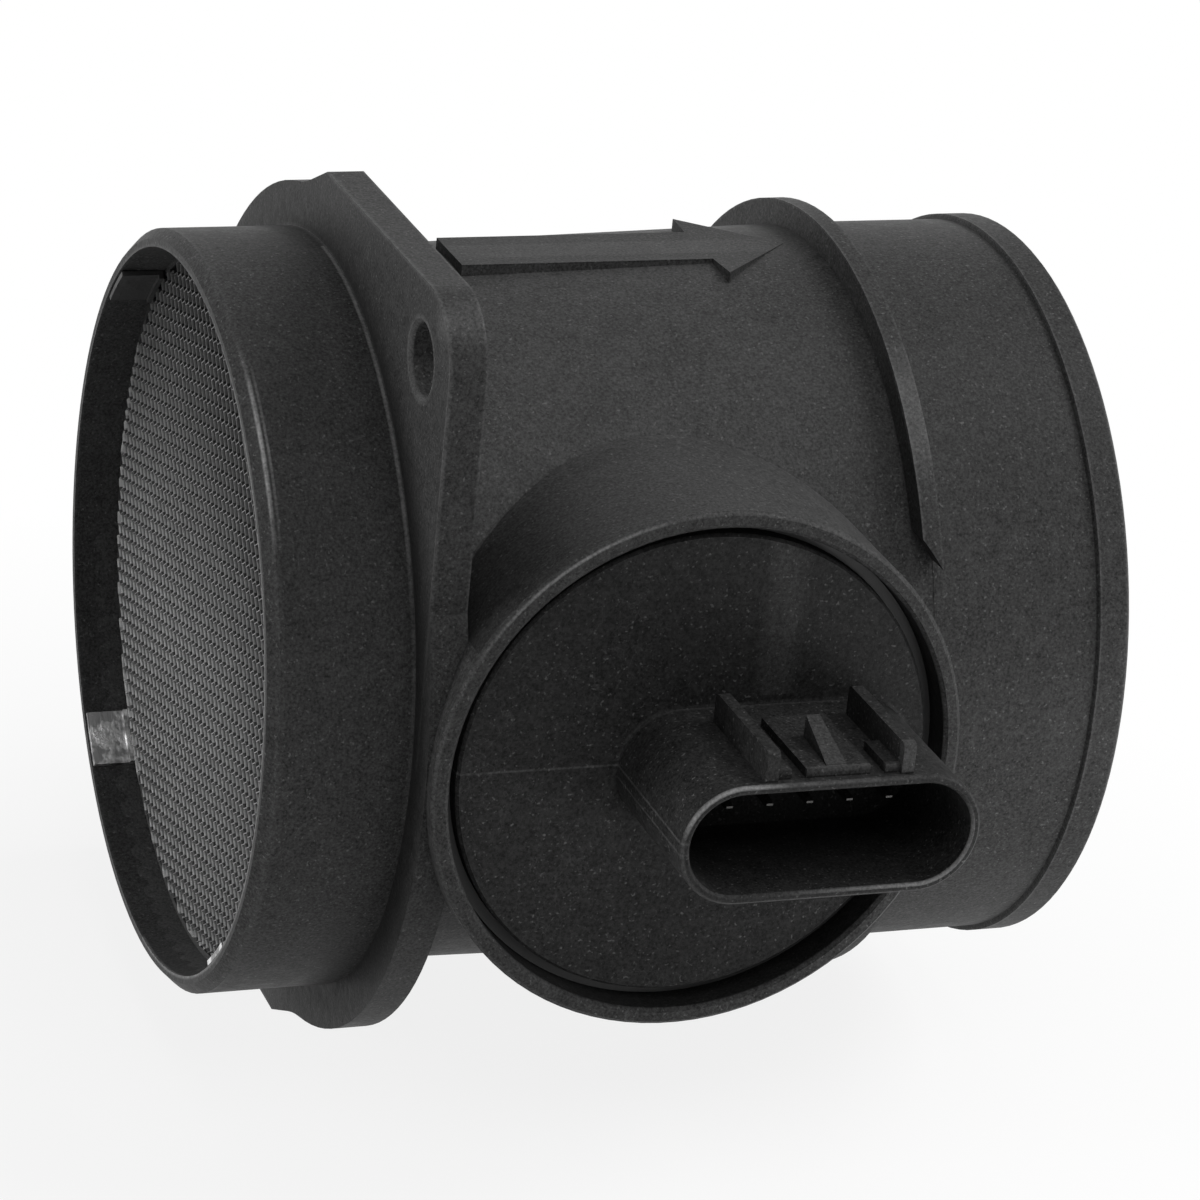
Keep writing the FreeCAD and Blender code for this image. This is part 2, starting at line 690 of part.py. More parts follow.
def probe_body():
    made = body("probe_body")
    wing(made)
    foot = sketch(made, "foot_outline", "XZ", x="boss_x", out="floor_top - seat_depth + gasket_thick")
    half_x, half_z = "chord / 2 + foot_border", "wing_thick / 2 + foot_border"
    rectangle(foot, "-(%s)" % half_x, half_x, "-(%s)" % half_z, half_z)
    extrude(made, "Pad", "foot", foot, "foot_thick")
    lid = sketch(made, "lid_seat", "XY", x="boss_x", out="wing_thick / 2")
    rectangle(lid, "-chord", "chord", "-lid_root", "wing_reach + past")
    extrude(made, "Pocket", "lid_seat_cut", lid, "lid_thick")
    channel = sketch(made, "channel_outline", "XY", x="boss_x", out="wing_thick / 2")
    out = "chord / 2 + past"
    polygon(channel, [("-(%s)" % out, "channel_low"), ("channel_x", "channel_low"),
                      ("channel_x", "-channel_turn + channel_width"), (out, "-channel_turn + channel_width"),
                      (out, "-channel_turn"), ("channel_x - channel_width", "-channel_turn"),
                      ("channel_x - channel_width", "channel_low - channel_width"),
                      ("-(%s)" % out, "channel_low - channel_width")])
    extrude(made, "Pocket", "bypass_channel", channel, "wing_thick - channel_floor")
    window = sketch(made, "window_outline", "XY", x="boss_x - window_x", out="wing_thick / 2")
    rectangle(window, "0", "window_width", "-window_high", "-window_low")
    extrude(made, "Pocket", "thermistor_window", window, "wing_thick")
    return made


def probe_lid():
    """The lid of the bypass channel, rounded like the blade that it completes."""
    made = body("probe_lid")
    wing(made)
    below = sketch(made, "below_lid", "XZ", x="boss_x", out="-wing_reach - past")
    rectangle(below, "-chord", "chord", "-wing_thick", "wing_thick / 2 - lid_thick")
    extrude(made, "Pocket", "lid_underside", below, "floor_top + wing_reach + 2 * past", reverse=True)
    beyond = sketch(made, "beyond_lid", "XY", x="boss_x", out="wing_thick / 2")
    rectangle(beyond, "-chord", "chord", "-floor_top - past", "-lid_root + lid_fit")
    extrude(made, "Pocket", "lid_root_cut", beyond, "wing_thick")
    return made


def probe_gasket():
    made = body("probe_gasket")
    drawn = sketch(made, "gasket_outline", "XZ", x="boss_x", out="floor_top - seat_depth")
    for border in ("foot_border", "slot_fit"):
        half_x = "chord / 2 + " + border
        half_z = "wing_thick / 2 + " + border
        rectangle(drawn, "-(%s)" % half_x, half_x, "-(%s)" % half_z, half_z)
    extrude(made, "Pad", "gasket", drawn, "gasket_thick")
    return made


def flow_element():
    """The heated film chip on the floor of the bypass channel."""
    made = body("flow_element")
    drawn = sketch(made, "chip_outline", "XY", x="boss_x + channel_x - channel_width / 2",
                   y="-channel_turn / 2", out="channel_floor - wing_thick / 2")
    rectangle(drawn, "-chip_wide / 2", "chip_wide / 2", "-chip_long / 2", "chip_long / 2")
    extrude(made, "Pad", "film_chip", drawn, "chip_thick")
    return made


def air_thermistor():
    """A glass bead on two axial leads across the probe's window."""
    made = body("air_thermistor", x="boss_x - window_x + window_width / 2")
    middle = "-(window_low + window_high) / 2"
    drawn = sketch(made, "thermistor_profile", "XY")
    polygon(drawn, [("0", "-window_high"), ("lead_r", "-window_high"), ("lead_r", middle + " - bead_r"),
                    ("shoulder_r", middle + " - shoulder_set"), ("bead_r", middle),
                    ("shoulder_r", middle + " + shoulder_set"), ("lead_r", middle + " + bead_r"),
                    ("lead_r", "-window_low"), ("0", "-window_low")])
    turn_about(made, "Revolution", "bead_and_leads", drawn, "V_Axis")
    return made


# The electronics lie flat in the chamber, one layer on the next.

STACK = "floor_top - seat_depth + gasket_thick + foot_thick"


def slab(name, x_low, x_high, z_low, z_high, base, thick):
    """A flat block in the chamber, from a level upwards."""
    made = body(name)
    drawn = sketch(made, name + "_outline", "XZ", out=base)
    rectangle(drawn, x_low, x_high, z_low, z_high)
    extrude(made, "Pad", name + "_block", drawn, thick)
    return made


def base_plate():
    half_z = "rail_start + rail_width"
    return slab("base_plate", "boss_x - plate_long / 2", "boss_x + plate_long / 2", "-(%s)" % half_z, half_z,
                STACK, "plate_thick")


def circuit_board():
    made = slab("circuit_board", "board_start", "board_start + board_long", "-board_half", "board_half",
                STACK + " + plate_thick", "board_thick")
    dress(made, "Fillet", "board_corners", made.Tip, "board_round",
          lambda e: runs_along(e, "y"))
    return made


def component(name, x, z, long, wide, tall):
    """A part soldered on the board, given by its middle and its own sizes in millimetres."""
    top = STACK + " + plate_thick + board_thick"
    return slab(name, "board_start + %s - %s / 2" % (x, long), "board_start + %s + %s / 2" % (x, long),
                "%s - %s / 2" % (z, wide), "%s + %s / 2" % (z, wide), top, tall)


made_parts = [housing(), flow_straightener()]
clip_angles = ["clip_angle", "180 - clip_angle", "180 + clip_angle", "360 - clip_angle"]
for number, angle in enumerate(clip_angles, start=1):
    made_parts.append(straightener_clip(number, angle))
made_parts.append(connector_cover())
made_parts += [terminal(number) for number in range(1, 6)]
made_parts += [cover_seal(), probe_body(), probe_lid(), probe_gasket(), flow_element(), air_thermistor()]
made_parts += [base_plate(), circuit_board()]
made_parts.append(component("signal_chip", 8, -1, 7, 7, 1.2))
made_parts.append(component("resistor_network", 16, -5, 5, 2.4, 0.7))
made_parts.append(component("capacitor_1", 23, -4.5, 3.2, 1.6, 1.3))
made_parts.append(component("capacitor_2", 23, -1.5, 3.2, 1.6, 1.3))

doc.recompute()
for thing in doc.Objects:
    if "Invalid" in thing.State or "Error" in thing.State:
        raise ValueError(thing.Label + " did not build")

os.makedirs("parts", exist_ok=True)
for made_part in made_parts:
    shape = made_part.Shape
    if shape.isNull() or not shape.isValid() or len(shape.Solids) != 1:
        raise ValueError(made_part.Label + " is not one sound solid")
    shape.exportStep("parts/%s.step" % made_part.Label)
    box = shape.BoundBox
    print("%-22s %9.1f mm3  x %6.1f %6.1f  y %6.1f %6.1f  z %6.1f %6.1f" % (
        made_part.Label, shape.Volume, box.XMin, box.XMax, box.YMin, box.YMax, box.ZMin, box.ZMax))
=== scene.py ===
import math

import bmesh
import bpy
from mathutils import Matrix, Vector


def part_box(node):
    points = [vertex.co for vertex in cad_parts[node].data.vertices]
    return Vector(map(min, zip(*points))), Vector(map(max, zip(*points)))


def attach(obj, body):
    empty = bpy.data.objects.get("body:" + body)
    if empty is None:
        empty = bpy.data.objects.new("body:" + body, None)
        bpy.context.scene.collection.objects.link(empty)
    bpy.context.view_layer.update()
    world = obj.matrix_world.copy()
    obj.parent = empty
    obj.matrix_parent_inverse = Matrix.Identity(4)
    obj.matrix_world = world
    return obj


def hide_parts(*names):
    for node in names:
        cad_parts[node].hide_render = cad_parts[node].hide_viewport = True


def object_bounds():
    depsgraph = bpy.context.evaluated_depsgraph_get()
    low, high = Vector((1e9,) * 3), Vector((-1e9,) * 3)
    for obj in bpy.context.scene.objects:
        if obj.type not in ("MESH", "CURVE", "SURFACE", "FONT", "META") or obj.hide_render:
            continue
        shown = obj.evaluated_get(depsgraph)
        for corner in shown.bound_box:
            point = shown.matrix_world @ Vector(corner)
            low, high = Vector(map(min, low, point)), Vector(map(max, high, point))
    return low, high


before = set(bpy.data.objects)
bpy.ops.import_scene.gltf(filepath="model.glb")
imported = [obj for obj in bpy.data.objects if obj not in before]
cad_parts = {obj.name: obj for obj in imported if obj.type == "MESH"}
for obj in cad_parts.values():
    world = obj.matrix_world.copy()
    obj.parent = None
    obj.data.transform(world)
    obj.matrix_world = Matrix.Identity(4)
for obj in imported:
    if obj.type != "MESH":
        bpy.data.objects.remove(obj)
CAD_BOX = [list(corner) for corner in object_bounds()]
MM = 0.001

# The camera, as solved from the photograph: azimuth, elevation and roll in degrees, lengths in
# millimetres, and the aim's place in the picture in pixels.
CAMERA_ANGLES = (21.64, 22.37, 5.70)
CAMERA_AIM = (32.5, 0, 0)
CAMERA_DISTANCE = 497.9
FOCAL_PIXELS = 4741
PHOTO_SIDE = 1200
AIM_PIXEL = (595.74, 589.86)
SENSOR_WIDTH = 36

# Area lamps: name, place, size in metres and watts. AMBIENT is the plain level of the room.
LAMPS = (
    ("high_right_box", (0.75, -0.1, 0.75), (0.5, 0.5), 5.2),
    ("top_box", (0.03, 0.0, 1.0), (0.5, 0.5), 1.0),
    ("front_box", (0.0, -0.6, 0.8), (0.5, 0.5), 2.2),
    ("right_box", (0.9, -0.15, 0.45), (0.5, 0.5), 1.0),
    ("left_box", (-0.85, 0.28, 0.14), (0.4, 0.4), 4.2),
    ("low_right_card", (0.095, -0.1, -0.03), (0.06, 0.02), 0.024),
)
LAMP_AIM = (0.035, -0.02, 0)
AMBIENT = 0.10

# The floor: half its side in metres, its grey, the share of plain white in it near the sensor, and
# the reach in millimetres over which its shadow fades out.
FLOOR_HALF = 6.0
FLOOR_GREY = 0.85
WHITE_SHARE = 0.85
SHADOW_FADE = (60, 140)

# The straightener's foil, in metres and radians. Its cells are a hair smaller than their pitch, so
# that they don't overlap, and the lattice is that many cells wide before it is cut to the disc.
FOIL_LOW, FOIL_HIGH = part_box("flow_straightener")
FOIL_RADIUS = (FOIL_HIGH.y - FOIL_LOW.y) / 2
FOIL_PITCH = 1.5 * MM
FOIL_SIZES = {
    "Pitch": FOIL_PITCH,
    "Radius": FOIL_RADIUS,
    "Turn": math.radians(-13),
    "Jitter": 0.07 * MM,
}
FOIL_WALL = 0.10 * MM
FOIL_LEAN = math.radians(25)
FOIL_WAVES = 900.0
CELL_FIT = 0.999
LATTICE_SIDE = 61

# Places and radii that the finishes follow, in millimetres. The duct's axis is X, and the flange's
# face is at X = 0. OUT and UP are a bolt corner's distances from the axis along Y and Z.
MOUTH_X, MOUTH_RADIUS = -14.4, 37.05
COLLAR_X, COLLAR_RADIUS = -13.35, 38.9
FLANGE_BACK_X = 3.75
TUBE_TOP_RADIUS = 37.95
RING_FRONT_X, RING_BACK_X, RING_RADIUS = 52.3, 54.3, 40.7
LIP_FRONT_X, LIP_END_X, LIP_RADIUS = 72.3, 75.4, 38.6
CORNER_OUT, CORNER_UP, CORNER_RADIUS = 33.0, 38.9, 7.4
BEND_OUT, BEND_UP = 37.0, 35.0
TIP_OUT, TIP_UP = 37.6, 44.6
HOLE_OUT, HOLE_UP, HOLE_RADIUS = 31.8, 38.58, 3.8
BOSS_X, BOSS_RADIUS = 27.4, 27.1
RIM_Y, RIM_BORE = -45.1, 25.8
RIM_LIGHT_X, RIM_LIGHT_Z = 12.0, 22.0
DISC_Y, DISC_RADIUS = -43.2, 24.1
PARTING_HIGH, PARTING_LOW = 0.62, -0.55
SHROUD_X, SHROUD_HALF_RUN, SHROUD_RADIUS = 34.7, 9.15, 6.15
SOCKET_Y, SOCKET_RADIUS = -60.9, 5.3
KEYS_Z, WEDGE_Z, WEDGE_X = 6.3, 7.12, 34.95

# Heights at which the painted highlights on the collar and on the stop ring start, are full, fall and
# end.
STREAK_SPAN = (20, 27, 29, 35)
RING_HIGHLIGHT_SPAN = (24, 28, 31, 35)

# Painted highlights on edges all the way round the duct: place along X, radius and width in
# millimetres, and strength.
DUCT_EDGES = (
    (MOUTH_X, MOUTH_RADIUS, 0.3, 0.3),
    (COLLAR_X, COLLAR_RADIUS, 0.6, 0.12),
    (RING_FRONT_X, RING_RADIUS, 0.3, 0.3),
    (RING_BACK_X, RING_RADIUS, 0.3, 0.25),
    (LIP_FRONT_X, LIP_RADIUS, 0.3, 0.3),
    (LIP_END_X, LIP_RADIUS - 0.1, 0.4, 0.3),
)

# Levels that the black plastic's marks blend towards: pale specks, lighter edges that are partly wear
# and partly painted highlight, painted highlights and painted shade.
SPECK_LEVEL = 0.2
WEAR_AND_HIGHLIGHT_LEVEL = 0.17
PAINTED_HIGHLIGHT_LEVEL = 0.42
PAINTED_SHADE_LEVEL = 0.006


# The camera.


def set_camera():
    azimuth, elevation, roll = (math.radians(angle) for angle in CAMERA_ANGLES)
    flat = math.cos(elevation)
    back = Vector((-math.sin(azimuth) * flat, -math.cos(azimuth) * flat, math.sin(elevation)))
    level = Vector((math.cos(azimuth), -math.sin(azimuth), 0))
    rise = back.cross(level)
    right = math.cos(roll) * level + math.sin(roll) * rise
    up = math.cos(roll) * rise - math.sin(roll) * level
    lens = bpy.data.cameras.new("photo_camera")
    lens.sensor_width = SENSOR_WIDTH
    lens.lens = FOCAL_PIXELS / PHOTO_SIDE * SENSOR_WIDTH
    lens.shift_x = (PHOTO_SIDE / 2 - AIM_PIXEL[0]) / PHOTO_SIDE
    lens.shift_y = (AIM_PIXEL[1] - PHOTO_SIDE / 2) / PHOTO_SIDE
    camera = bpy.data.objects.new("photo_camera", lens)
    spot = Vector(CAMERA_AIM) * MM + back * (CAMERA_DISTANCE * MM)
    camera.matrix_world = Matrix.Translation(spot) @ Matrix((right, up, back)).transposed().to_4x4()
    bpy.context.scene.collection.objects.link(camera)
    bpy.context.scene.camera = camera


# Node trees. A signal is a socket, and arithmetic on signals adds the Math nodes.


class Signal:
    """A value that a node gives."""

    def __init__(self, nodes, socket):
        self.nodes = nodes
        self.socket = socket

    def __add__(self, other):
        return self.nodes.maths("ADD", self, other)

    def __sub__(self, other):
        return self.nodes.maths("SUBTRACT", self, other)

    def __rsub__(self, other):
        return self.nodes.maths("SUBTRACT", other, self)

    def __mul__(self, other):
        return self.nodes.maths("MULTIPLY", self, other)

    def __truediv__(self, other):
        return self.nodes.maths("DIVIDE", self, other)

    def __neg__(self):
        return self * -1.0

    def __abs__(self):
        return self.nodes.maths("ABSOLUTE", self)

    def __gt__(self, other):
        return self.nodes.maths("GREATER_THAN", self, other)

    def __lt__(self, other):
        return self.nodes.maths("LESS_THAN", self, other)

    __radd__ = __add__
    __rmul__ = __mul__

    def least(self, other):
        return self.nodes.maths("MINIMUM", self, other)

    def most(self, other):
        return self.nodes.maths("MAXIMUM", self, other)

    def ramp(self, low, high):
        """0 below low, 1 above high, straight between."""
        sockets = {"Value": self, "From Min": low, "From Max": high}
        return self.nodes.node("ShaderNodeMapRange", {"clamp": True}, sockets)

    def fade(self, low, high):
        """1 below low, 0 above high, straight between."""
        return 1.0 - self.ramp(low, high)

    def between(self, start, full, fall, end):
        """1 from full to fall, 0 outside start and end."""
        return self.ramp(start, full) * self.fade(fall, end)

    def line(self, width):
        """1 where the signal is 0, and 0 where it is beyond the width."""
        return abs(self).fade(width * 0.35, width)


def across(first, second):
    """The length of two signals at right angles."""
    return first.nodes.maths("SQRT", first * first + second * second)


class Nodes:
    """A node tree under construction."""

    def __init__(self, tree, output):
        self.tree = tree
        self.tree.nodes.clear()
        self.output = self.tree.nodes.new(output)

    def node(self, kind, settings=None, sockets=None, out=0):
        """Adds a node, sets it up, links or sets its sockets, and gives one of its outputs."""
        made = self.tree.nodes.new(kind)
        for word, value in (settings or {}).items():
            setattr(made, word, value)
        for word, value in (sockets or {}).items():
            if isinstance(value, Signal):
                self.tree.links.new(value.socket, made.inputs[word])
            else:
                made.inputs[word].default_value = value
        return Signal(self, made.outputs[out])

    def maths(self, operation, *values):
        return self.node("ShaderNodeMath", {"operation": operation}, dict(enumerate(values)))

    def vector_maths(self, operation, sockets, out="Vector"):
        return self.node("ShaderNodeVectorMath", {"operation": operation}, sockets, out)

    def vector(self, **axes):
        return self.node("ShaderNodeCombineXYZ", {}, axes)

    def split(self, vector):
        """The X, Y and Z of a vector."""
        parts = self.node("ShaderNodeSeparateXYZ", {}, {0: vector}).socket.node
        return [Signal(self, output) for output in parts.outputs]

    def end(self, result):
        """Links the result to the tree's output."""
        self.tree.links.new(result.socket, self.output.inputs[0])


class Paint(Nodes):
    """A material under construction."""

    def __init__(self, name):
        self.material = bpy.data.materials.new(name)
        self.material.use_nodes = True
        super().__init__(self.material.node_tree, "ShaderNodeOutputMaterial")
        self.place = self.node("ShaderNodeTexCoord", out="Object")

    def axes(self):
        """The place on the piece along X, Y and Z, in millimetres."""
        return [axis / MM for axis in self.split(self.place)]

    def noise(self, scale, detail=2.0, rough=0.5, place=None):
        """Noise at so many waves a metre."""
        sockets = {"Vector": place or self.place, "Scale": scale, "Detail": detail, "Roughness": rough}
        return self.node("ShaderNodeTexNoise", {}, sockets)

    def blend(self, factor, first, second):
        sockets = {0: factor, 6: first, 7: second}
        return self.node("ShaderNodeMix", {"data_type": "RGBA"}, sockets, out=2)

    def layers(self, colour, *marks):
        """Lays marks over a colour, one on the other. A mark is a factor and its level of grey."""
        for factor, level in marks:
            colour = self.blend(factor, colour, grey(level))
        return colour

    def bump(self, height, depth, strength, under=None):
        sockets = {"Height": height, "Distance": depth, "Strength": strength}
        if under is not None:
            sockets["Normal"] = under
        return self.node("ShaderNodeBump", {}, sockets)

    def surface(self, **sockets):
        words = {word.replace("_", " "): value for word, value in sockets.items()}
        self.end(self.node("ShaderNodeBsdfPrincipled", {}, words))
        return self.material


def grey(level, warm=0.0):
    """A colour of one level. Warmth adds red and takes blue."""
    return (level * (1 + warm), level, level * (1 - warm), 1.0)


def seen_ray(nodes):
    """1 for a ray that shows the backdrop: straight to the camera, mirrored, or through glass."""
    path = nodes.node("ShaderNodeLightPath").socket.node
    rays = ("Is Camera Ray", "Is Glossy Ray", "Is Transmission Ray")
    camera, glossy, through = (Signal(nodes, path.outputs[ray]) for ray in rays)
    return camera.most(glossy).most(through)


# Finishes.


def from_boss_axis(x, z):
    return across(x - BOSS_X, z)


def moulded_black(paint, dark, light, grain, wear_and_highlight, painted_shade=0.0, painted_highlight=0.0):
    """Glass-filled black plastic: fine grit, flow marks and pale glass specks, with lighter edges that
    are partly rubbed wear and partly painted highlight, painted highlights and painted shade.

    Its tone lies between the levels dark and light, and grain scales its relief.
    """
    flow = paint.noise(34, 3.0, 0.55).ramp(0.35, 0.7)
    mottle = paint.noise(700, 3.0, 0.6).ramp(0.34, 0.66)
    grit = paint.noise(3300, 3.0, 0.7).ramp(0.34, 0.66)
    fleck = paint.noise(2900, 1.0, 0.4).ramp(0.66, 0.78)
    rubbed = paint.noise(90, 2.0, 0.5).ramp(0.45, 0.62)
    scratch = (paint.noise(330, 3.0, 0.6) - 0.5).line(0.012) * rubbed
    tone = flow * 0.15 + mottle * 0.2 + grit * 0.65
    colour = paint.layers(
        paint.blend(tone, grey(dark), grey(light)),
        (fleck * 0.45 + scratch * 0.1, SPECK_LEVEL),
        # Lighter edges, partly rubbed wear and partly painted highlight.
        (wear_and_highlight * (grit * 0.6 + 0.4), WEAR_AND_HIGHLIGHT_LEVEL),
        # Painted highlights.
        ((grit * 0.5 + 0.5) * painted_highlight, PAINTED_HIGHLIGHT_LEVEL),
        # Painted shade in recesses and corners.
        (painted_shade, PAINTED_SHADE_LEVEL),
    )
    rough = mottle * 0.12 - wear_and_highlight * 0.1 + 0.48
    swell = paint.bump(paint.noise(160, 2.0, 0.5), 0.00012, 0.35 * grain)
    relief = paint.bump(paint.noise(1500, 3.0, 0.65), 0.00006, 0.8 * grain, swell)
    return paint.surface(Base_Color=colour, Roughness=rough, Normal=relief, Specular_IOR_Level=0.08)


def duct_edges(x, y, z):
    """Painted highlights on the edges of the collar, the flange's foot, the stop ring and the outlet
    lip, and painted light on the bore's lower wall.
    """
    around = across(y, z)
    foot = across(x + 0.1, around - COLLAR_RADIUS).line(0.4)
    inside = (x < -4.0) * (around < MOUTH_RADIUS - 0.1)
    # The foot's painted highlight grows towards the top; the bore's wall gets painted light, lighter
    # towards the bottom.
    edges = foot * (z.ramp(-14, 4) * 0.4) + inside * z.fade(-28, 8) * 0.32
    for place, radius, width, strength in DUCT_EDGES:
        edges = edges + across(x - place, around - radius).line(width) * strength
    return edges


def corner_edges(x, y, z):
    """Painted highlights on the edges of a bolt corner and its hole, strongest near the corner's
    round, the same on the far side turned half a turn.
    """
    side = (z > 0.0) * 2.0 - 1.0
    out = -(y * side)
    up = z * side
    along = out - CORNER_OUT
    above = up - CORNER_UP
    outline = across(along.most(0.0), above.most(0.0)) + along.most(above).least(0.0) - CORNER_RADIUS
    corner = across(outline, x).line(0.4) + across(outline, x - FLANGE_BACK_X).line(0.3)
    from_bend = across(out - BEND_OUT, up - BEND_UP).ramp(2, 8)
    hole = across(across(out - HOLE_OUT, up - HOLE_UP) - HOLE_RADIUS, x).line(0.6)
    return corner * (0.75 - from_bend * 0.4) + hole * 0.55


def boss_edges(x, y, z):
    """Painted highlights on the edges of the boss's rim, stronger on the side that faces the lamps."""
    from_boss = from_boss_axis(x, z)
    outer = across(from_boss - BOSS_RADIUS, y - RIM_Y - 0.2).line(0.3)
    inner = across(from_boss - RIM_BORE, y - RIM_Y - 0.15).line(0.3)
    return outer * ((z - x).ramp(-40, 0) * 0.2 + 0.05) + inner * 0.12


def housing_painted_highlights(x, y, z):
    """Painted highlights on the near side: collar, mouth, stop ring, bolt corner's tip and boss's rim.
    """
    around = across(y, z)
    near_side = y < 0.0

    def duct_edge(place, radius, width):
        return across(x - place, around - radius).line(width) * near_side

    round_line = duct_edge(COLLAR_X, COLLAR_RADIUS, 0.3) * 1.1
    second_line = duct_edge(COLLAR_X + 0.6, COLLAR_RADIUS, 0.18) * 0.4
    streak = (round_line + second_line) * z.between(*STREAK_SPAN)
    foot = duct_edge(-0.3, COLLAR_RADIUS, 0.25) * (x < -0.05) * (z.ramp(14, 27) * 0.5)
    mouth = duct_edge(MOUTH_X, MOUTH_RADIUS, 0.35) * z.fade(30, 36) * 0.45
    on_ring = (x > RING_FRONT_X - 0.1) * (x < RING_BACK_X + 0.1) * (around > RING_RADIUS - 0.4)
    # A painted highlight on the stop ring's near side.
    ring_highlight = on_ring * near_side * z.between(*RING_HIGHLIGHT_SPAN) * 0.2
    tip = across(y + TIP_OUT, z - TIP_UP).fade(0.5, 3.0) * 0.14
    rim = across(from_boss_axis(x, z) - BOSS_RADIUS + 0.05, y - RIM_Y - 0.1).line(0.22)
    rim_lit = rim * across(x - RIM_LIGHT_X, z - RIM_LIGHT_Z).fade(3, 12) * 0.6
    return streak + mouth + rim_lit + foot + ring_highlight + tip


def housing_painted_shade(x, y, z):
    """Painted shade: in the recess inside the boss's rim, on the flange's face at the collar's foot,
    and on the boss's root beside the flange.
    """
    around = across(y, z)
    from_boss = from_boss_axis(x, z)
    recess = (y > RIM_Y + 0.35) * (y < RIM_Y + 6.0) * (from_boss < RIM_BORE - 0.25)
    foot = (around - COLLAR_RADIUS).fade(0.4, 6.0) * (x < 0.05) * (around > COLLAR_RADIUS + 0.05)
    beside = x.fade(4, 17) * (x > FLANGE_BACK_X + 0.05) * (-y).ramp(26, 33)
    crevice = beside * (y > RIM_Y + 0.8) * (from_boss < BOSS_RADIUS + 0.5)
    return recess * 0.6 + foot * 0.65 + crevice * 0.55


def housing_plastic():
    """The housing's plastic, with lighter edges that are partly rubbed wear and partly painted
    highlight, painted highlights and painted shade.
    """
    paint = Paint("housing_plastic")
    x, y, z = paint.axes()

    # A painted sheen on the tube's upper half, lighter towards the top, but not on the boss.
    from_boss = from_boss_axis(x, z)
    off_boss = (from_boss.ramp(BOSS_RADIUS + 0.1, BOSS_RADIUS + 0.5) + (y > 0.0)).least(1.0)
    on_tube = x.between(FLANGE_BACK_X + 0.05, 5, 40, 52) * (across(y, z) < TUBE_TOP_RADIUS) * off_boss
    upper_tube_sheen = on_tube * z.ramp(0, 24) * 0.16

    edges = duct_edges(x, y, z) + corner_edges(x, y, z) + boss_edges(x, y, z) + upper_tube_sheen
    # The edges and the sheen lighten the colour as painted highlight and lower the roughness as rubbed
    # wear.
    wear_and_highlight = (edges * (paint.noise(260, 2.0, 0.6).ramp(0.25, 0.6) * 0.6 + 0.4)).least(0.9)
    # Painted highlights, broken up by noise.
    highlight_breakup = paint.noise(420, 3.0, 0.65).ramp(0.3, 0.6) * 0.5 + 0.5
    painted_highlight = (housing_painted_highlights(x, y, z) * highlight_breakup).least(1.0)
    # Painted shade in the boss's recess and in the corners by the flange.
    painted_shade = housing_painted_shade(x, y, z)
    return moulded_black(paint, 0.009, 0.074, grain=1.0, wear_and_highlight=wear_and_highlight, painted_shade=painted_shade, painted_highlight=painted_highlight)


def cover_plastic():
    """The cover's plastic, with its parting lines, and painted highlights on the edges at the shroud,
    its ribs, its wedge and the disc.
    """
    paint = Paint("cover_plastic")
    x, y, z = paint.axes()
    shell = across((abs(x - SHROUD_X) - SHROUD_HALF_RUN).most(0.0), z)
    on_disc = (y > DISC_Y - 0.1) * (x < 26.0)
    on_side = (y < DISC_Y) * (x < 27.0)
    parting = (z - PARTING_HIGH).line(0.16) * (on_disc * 0.32 + on_side * 0.45)
    parting = parting + (z - PARTING_LOW).line(0.16) * on_side * 0.35
    # Painted highlights along the shroud's root, stronger on its upper side; round its mouth, stronger
    # on the lit side; on the ribs' fronts, stronger towards +X; on the wedge's top; round the disc's
    # edge.
    root = across(shell - SHROUD_RADIUS, y - DISC_Y).line(0.45) * (z.ramp(-1, 3) * 0.22)
    outer = across(shell - SHROUD_RADIUS + 0.1, y - SOCKET_Y).line(0.35)
    inner = across(shell - SOCKET_RADIUS, y - SOCKET_Y).line(0.3)
    lit = (z - (x - SHROUD_X) * 0.5).ramp(0, 9)
    mouth = outer * (lit * 0.4 + 0.15) + inner * 0.12
    keys = (z > KEYS_Z) * (y < SOCKET_Y + 1.6) * (x.ramp(30, 34) * 0.28 + 0.04)
    wedge = (z > WEDGE_Z) * (x - WEDGE_X).line(2.6) * 0.22
    disc_edge = across(from_boss_axis(x, z) - DISC_RADIUS, y - DISC_Y).line(0.3) * 0.1
    edges = parting + root + mouth + keys + wedge + disc_edge
    # Lighter marks: the parting lines are the cover's own, the rest painted highlight, also smoother
    # as rubbed wear.
    wear_and_highlight = (edges * (paint.noise(300, 2.0, 0.6).ramp(0.2, 0.6) * 0.5 + 0.5)).least(0.9)
    # Painted highlights on the mouth's outer edge at the upper left and on its inner edge at the lower
    # right.
    upper_left = x.fade(26, 30) * z.ramp(1, 3)
    low_right = (x - SHROUD_X - z * 2.0).ramp(6, 22)
    painted_highlight = outer * upper_left * 0.7 + inner * low_right * 0.7
    return moulded_black(paint, 0.003, 0.042, grain=0.8, wear_and_highlight=wear_and_highlight, painted_highlight=painted_highlight)


def probe_plastic():
    """The probe's plastic, finer, with a lighter tip."""
    paint = Paint("probe_plastic")
    _, y, _ = paint.axes()
    return moulded_black(paint, 0.010, 0.050, grain=0.7, wear_and_highlight=y.ramp(3.4, 4.0) * 0.15)


